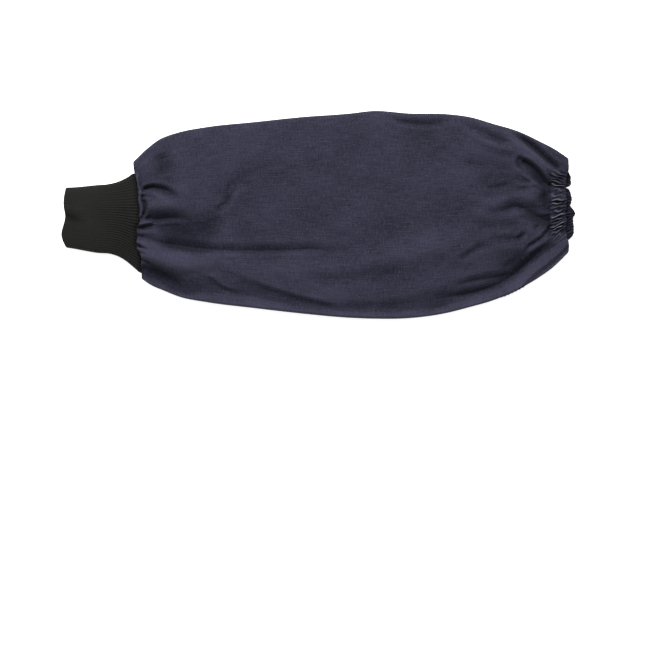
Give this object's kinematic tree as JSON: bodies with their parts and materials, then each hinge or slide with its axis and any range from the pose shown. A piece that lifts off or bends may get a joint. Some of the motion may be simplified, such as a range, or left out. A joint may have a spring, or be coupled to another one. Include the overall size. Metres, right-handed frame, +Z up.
{
  "type": "protective sleeve",
  "caption": "Navy denim work sleeve lying flat, a gathered tube open at both ends with a black rib-knit cuff and an elasticated hem, worn over the forearm to guard arm and clothes",
  "frame": {"origin": "middle of the sleeve's bounding box, on the floor that it lies on", "axes": "+X along the sleeve from the cuff to the elastic hem, +Y across it, +Z up from the floor"},
  "size_m": [0.4572, 0.1842, 0.0268],
  "materials": {
    "denim": "matt navy denim",
    "rib_knit": "matt black fine rib knit",
    "hem_denim": "matt navy denim, shirred"
  },
  "bodies": {
    "root": {"sleeve_body": "denim", "knit_cuff": "rib_knit", "elastic_hem": "hem_denim"}
  },
  "joints": []
}
